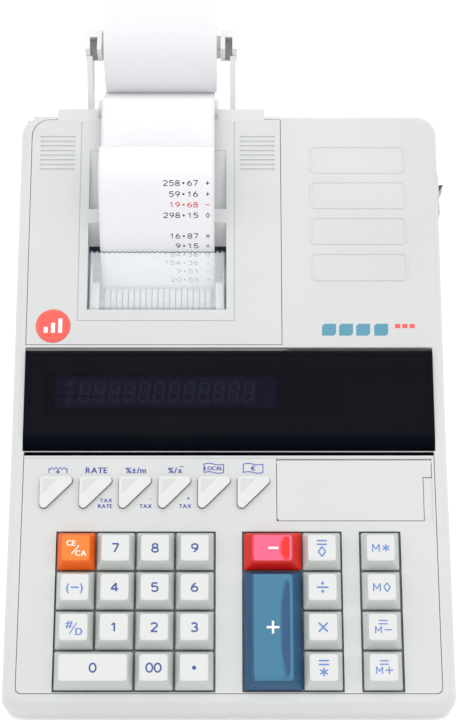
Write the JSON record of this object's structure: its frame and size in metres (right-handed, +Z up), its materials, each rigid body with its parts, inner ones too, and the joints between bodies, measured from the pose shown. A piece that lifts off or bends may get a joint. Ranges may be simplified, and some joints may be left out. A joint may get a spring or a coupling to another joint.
{
  "type": "printing desk calculator",
  "caption": "Desk calculator with a sloping keyboard, smoked display window, type-wheel printer under a lift-off cover and a paper roll on two rear arms.",
  "frame": {"origin": "on the table, under the middle of the outside box, on the centre line of the case", "axes": "+X to the right for someone at the keys, +Y away from that person, +Z up"},
  "size_m": [0.2189, 0.3634, 0.0965],
  "materials": {
    "case_grey": "fine textured moulding",
    "base_grey": "fine textured moulding",
    "key_grey": "smooth moulding, satin",
    "key_orange": "smooth moulding, satin",
    "key_red": "smooth moulding, light gloss",
    "key_blue": "smooth moulding, light gloss",
    "smoked_window": "polished, smoked and see-through",
    "clear_window": "polished and clear",
    "tube_glass": "polished dark glass",
    "slider_dark": "satin",
    "switch_bezel": "satin",
    "rocker_dark": "light gloss",
    "core_card": "plain card tube",
    "paper": "smooth uncoated paper",
    "steel": "zinc plated sheet and screws",
    "platen_rubber": "ground smooth",
    "gear_nylon": "natural nylon",
    "type_metal": "moulded type rings",
    "ink_felt": "inked felt",
    "motor_can": "drawn can",
    "brass": "cut teeth",
    "board": "green solder mask",
    "dome_rubber": "translucent moulded rubber",
    "transformer_iron": "varnished iron stack",
    "inlet_black": "satin",
    "foot_rubber": "soft rubber"
  },
  "bodies": {
    "case": {"lower_case": "base_grey", "upper_case": "case_grey", "keyboard_panel": "case_grey", "printer_cover": "case_grey", "tear_window": "clear_window", "display_window": "smoked_window", "display_tube": "tube_glass", "power_switch_body": "switch_bezel", "roll_holder": "case_grey", "paper_strip": "paper", "printer_frame": "steel", "printer_motor": "motor_can", "main_board": "board", "dome_mat": "dome_rubber", "transformer": "transformer_iron", "mains_inlet": "inlet_black", "feet": "foot_rubber", "case_screws": "steel"},
    "lid": {"switch_lid": "case_grey"},
    "rocker": {"power_rocker": "rocker_dark"},
    "decimal": {"decimal_slider": "slider_dark"},
    "rounding": {"rounding_slider": "slider_dark"},
    "roll": {"paper_roll": "paper", "roll_core": "core_card"},
    "platen": {"platen_roller": "platen_rubber", "platen_gear": "gear_nylon"},
    "pinion": {"motor_pinion": "brass"},
    "wheels": {"type_wheels": "type_metal"},
    "ink": {"ink_roller": "ink_felt"},
    "key_clear_cap": {"key_clear": "key_orange"},
    "key_7_cap": {"key_7": "key_grey"},
    "key_8_cap": {"key_8": "key_grey"},
    "key_9_cap": {"key_9": "key_grey"},
    "key_sign_cap": {"key_sign": "key_grey"},
    "key_4_cap": {"key_4": "key_grey"},
    "key_5_cap": {"key_5": "key_grey"},
    "key_6_cap": {"key_6": "key_grey"},
    "key_item_cap": {"key_item": "key_grey"},
    "key_1_cap": {"key_1": "key_grey"},
    "key_2_cap": {"key_2": "key_grey"},
    "key_3_cap": {"key_3": "key_grey"},
    "key_0_cap": {"key_0": "key_grey"},
    "key_00_cap": {"key_00": "key_grey"},
    "key_point_cap": {"key_point": "key_grey"},
    "key_minus_cap": {"key_minus": "key_red"},
    "key_plus_cap": {"key_plus": "key_blue"},
    "key_subtotal_cap": {"key_subtotal": "key_grey"},
    "key_divide_cap": {"key_divide": "key_grey"},
    "key_multiply_cap": {"key_multiply": "key_grey"},
    "key_total_cap": {"key_total": "key_grey"},
    "key_mem_total_cap": {"key_mem_total": "key_grey"},
    "key_mem_subtotal_cap": {"key_mem_subtotal": "key_grey"},
    "key_mem_minus_cap": {"key_mem_minus": "key_grey"},
    "key_mem_plus_cap": {"key_mem_plus": "key_grey"},
    "key_paper_feed_cap": {"key_paper_feed": "key_grey"},
    "key_rate_cap": {"key_rate": "key_grey"},
    "key_markup_cap": {"key_markup": "key_grey"},
    "key_average_cap": {"key_average": "key_grey"},
    "key_local_cap": {"key_local": "key_grey"},
    "key_euro_cap": {"key_euro": "key_grey"}
  },
  "joints": [
    {"name": "lid_hinge", "type": "hinge", "parent": "case", "child": "lid", "pos_m": [0.06, -0.06398, 0.03809], "axis": [-1, 0, 0], "range_deg": [0, 95]},
    {"name": "rocker_hinge", "type": "hinge", "parent": "case", "child": "rocker", "pos_m": [0.1034, 0.08075, 0.046], "axis": [0, 0, 1], "range_deg": [0, 27]},
    {"name": "decimal_slide", "type": "slide", "parent": "case", "child": "decimal", "axis": [1, 0, 0], "range_m": [-0.005, 0.005]},
    {"name": "rounding_slide", "type": "slide", "parent": "case", "child": "rounding", "axis": [1, 0, 0], "range_m": [-0.005, 0.005]},
    {"name": "roll_spin", "type": "hinge", "parent": "case", "child": "roll", "pos_m": [-0.0354, 0.15825, 0.073], "axis": [1, 0, 0], "continuous": true},
    {"name": "platen_spin", "type": "hinge", "parent": "case", "child": "platen", "pos_m": [-0.0363, 0.04275, 0.0315], "axis": [1, 0, 0], "continuous": true},
    {"name": "pinion_spin", "type": "hinge", "parent": "case", "child": "pinion", "pos_m": [0.0008, 0.04275, 0.0155], "axis": [1, 0, 0], "continuous": true},
    {"name": "wheels_spin", "type": "hinge", "parent": "case", "child": "wheels", "pos_m": [-0.0363, 0.02675, 0.031], "axis": [1, 0, 0], "continuous": true},
    {"name": "ink_spin", "type": "hinge", "parent": "case", "child": "ink", "pos_m": [-0.0363, 0.01365, 0.026], "axis": [1, 0, 0], "continuous": true},
    {"name": "key_clear_press", "type": "slide", "parent": "case", "child": "key_clear_cap", "axis": [0, -0.1392, 0.9903], "range_m": [-0.003, 0], "stiffness_N_per_m": 170, "springref_m": 0.0035},
    {"name": "key_7_press", "type": "slide", "parent": "case", "child": "key_7_cap", "axis": [0, -0.1392, 0.9903], "range_m": [-0.003, 0], "stiffness_N_per_m": 170, "springref_m": 0.0035},
    {"name": "key_8_press", "type": "slide", "parent": "case", "child": "key_8_cap", "axis": [0, -0.1392, 0.9903], "range_m": [-0.003, 0], "stiffness_N_per_m": 170, "springref_m": 0.0035},
    {"name": "key_9_press", "type": "slide", "parent": "case", "child": "key_9_cap", "axis": [0, -0.1392, 0.9903], "range_m": [-0.003, 0], "stiffness_N_per_m": 170, "springref_m": 0.0035},
    {"name": "key_sign_press", "type": "slide", "parent": "case", "child": "key_sign_cap", "axis": [0, -0.1392, 0.9903], "range_m": [-0.003, 0], "stiffness_N_per_m": 170, "springref_m": 0.0035},
    {"name": "key_4_press", "type": "slide", "parent": "case", "child": "key_4_cap", "axis": [0, -0.1392, 0.9903], "range_m": [-0.003, 0], "stiffness_N_per_m": 170, "springref_m": 0.0035},
    {"name": "key_5_press", "type": "slide", "parent": "case", "child": "key_5_cap", "axis": [0, -0.1392, 0.9903], "range_m": [-0.003, 0], "stiffness_N_per_m": 170, "springref_m": 0.0035},
    {"name": "key_6_press", "type": "slide", "parent": "case", "child": "key_6_cap", "axis": [0, -0.1392, 0.9903], "range_m": [-0.003, 0], "stiffness_N_per_m": 170, "springref_m": 0.0035},
    {"name": "key_item_press", "type": "slide", "parent": "case", "child": "key_item_cap", "axis": [0, -0.1392, 0.9903], "range_m": [-0.003, 0], "stiffness_N_per_m": 170, "springref_m": 0.0035},
    {"name": "key_1_press", "type": "slide", "parent": "case", "child": "key_1_cap", "axis": [0, -0.1392, 0.9903], "range_m": [-0.003, 0], "stiffness_N_per_m": 170, "springref_m": 0.0035},
    {"name": "key_2_press", "type": "slide", "parent": "case", "child": "key_2_cap", "axis": [0, -0.1392, 0.9903], "range_m": [-0.003, 0], "stiffness_N_per_m": 170, "springref_m": 0.0035},
    {"name": "key_3_press", "type": "slide", "parent": "case", "child": "key_3_cap", "axis": [0, -0.1392, 0.9903], "range_m": [-0.003, 0], "stiffness_N_per_m": 170, "springref_m": 0.0035},
    {"name": "key_0_press", "type": "slide", "parent": "case", "child": "key_0_cap", "axis": [0, -0.1392, 0.9903], "range_m": [-0.003, 0], "stiffness_N_per_m": 170, "springref_m": 0.0035},
    {"name": "key_00_press", "type": "slide", "parent": "case", "child": "key_00_cap", "axis": [0, -0.1392, 0.9903], "range_m": [-0.003, 0], "stiffness_N_per_m": 170, "springref_m": 0.0035},
    {"name": "key_point_press", "type": "slide", "parent": "case", "child": "key_point_cap", "axis": [0, -0.1392, 0.9903], "range_m": [-0.003, 0], "stiffness_N_per_m": 170, "springref_m": 0.0035},
    {"name": "key_minus_press", "type": "slide", "parent": "case", "child": "key_minus_cap", "axis": [0, -0.1392, 0.9903], "range_m": [-0.003, 0], "stiffness_N_per_m": 170, "springref_m": 0.0035},
    {"name": "key_plus_press", "type": "slide", "parent": "case", "child": "key_plus_cap", "axis": [0, -0.1392, 0.9903], "range_m": [-0.003, 0], "stiffness_N_per_m": 170, "springref_m": 0.0035},
    {"name": "key_subtotal_press", "type": "slide", "parent": "case", "child": "key_subtotal_cap", "axis": [0, -0.1392, 0.9903], "range_m": [-0.003, 0], "stiffness_N_per_m": 170, "springref_m": 0.0035},
    {"name": "key_divide_press", "type": "slide", "parent": "case", "child": "key_divide_cap", "axis": [0, -0.1392, 0.9903], "range_m": [-0.003, 0], "stiffness_N_per_m": 170, "springref_m": 0.0035},
    {"name": "key_multiply_press", "type": "slide", "parent": "case", "child": "key_multiply_cap", "axis": [0, -0.1392, 0.9903], "range_m": [-0.003, 0], "stiffness_N_per_m": 170, "springref_m": 0.0035},
    {"name": "key_total_press", "type": "slide", "parent": "case", "child": "key_total_cap", "axis": [0, -0.1392, 0.9903], "range_m": [-0.003, 0], "stiffness_N_per_m": 170, "springref_m": 0.0035},
    {"name": "key_mem_total_press", "type": "slide", "parent": "case", "child": "key_mem_total_cap", "axis": [0, -0.1392, 0.9903], "range_m": [-0.003, 0], "stiffness_N_per_m": 170, "springref_m": 0.0035},
    {"name": "key_mem_subtotal_press", "type": "slide", "parent": "case", "child": "key_mem_subtotal_cap", "axis": [0, -0.1392, 0.9903], "range_m": [-0.003, 0], "stiffness_N_per_m": 170, "springref_m": 0.0035},
    {"name": "key_mem_minus_press", "type": "slide", "parent": "case", "child": "key_mem_minus_cap", "axis": [0, -0.1392, 0.9903], "range_m": [-0.003, 0], "stiffness_N_per_m": 170, "springref_m": 0.0035},
    {"name": "key_mem_plus_press", "type": "slide", "parent": "case", "child": "key_mem_plus_cap", "axis": [0, -0.1392, 0.9903], "range_m": [-0.003, 0], "stiffness_N_per_m": 170, "springref_m": 0.0035},
    {"name": "key_paper_feed_press", "type": "slide", "parent": "case", "child": "key_paper_feed_cap", "axis": [0, -0.1392, 0.9903], "range_m": [-0.0014, 0], "stiffness_N_per_m": 200, "springref_m": 0.003},
    {"name": "key_rate_press", "type": "slide", "parent": "case", "child": "key_rate_cap", "axis": [0, -0.1392, 0.9903], "range_m": [-0.0014, 0], "stiffness_N_per_m": 200, "springref_m": 0.003},
    {"name": "key_markup_press", "type": "slide", "parent": "case", "child": "key_markup_cap", "axis": [0, -0.1392, 0.9903], "range_m": [-0.0014, 0], "stiffness_N_per_m": 200, "springref_m": 0.003},
    {"name": "key_average_press", "type": "slide", "parent": "case", "child": "key_average_cap", "axis": [0, -0.1392, 0.9903], "range_m": [-0.0014, 0], "stiffness_N_per_m": 200, "springref_m": 0.003},
    {"name": "key_local_press", "type": "slide", "parent": "case", "child": "key_local_cap", "axis": [0, -0.1392, 0.9903], "range_m": [-0.0014, 0], "stiffness_N_per_m": 200, "springref_m": 0.003},
    {"name": "key_euro_press", "type": "slide", "parent": "case", "child": "key_euro_cap", "axis": [0, -0.1392, 0.9903], "range_m": [-0.0014, 0], "stiffness_N_per_m": 200, "springref_m": 0.003}
  ],
  "couplings": [
    {"joint": "pinion_spin", "follows": "platen_spin", "ratio": -3}
  ]
}
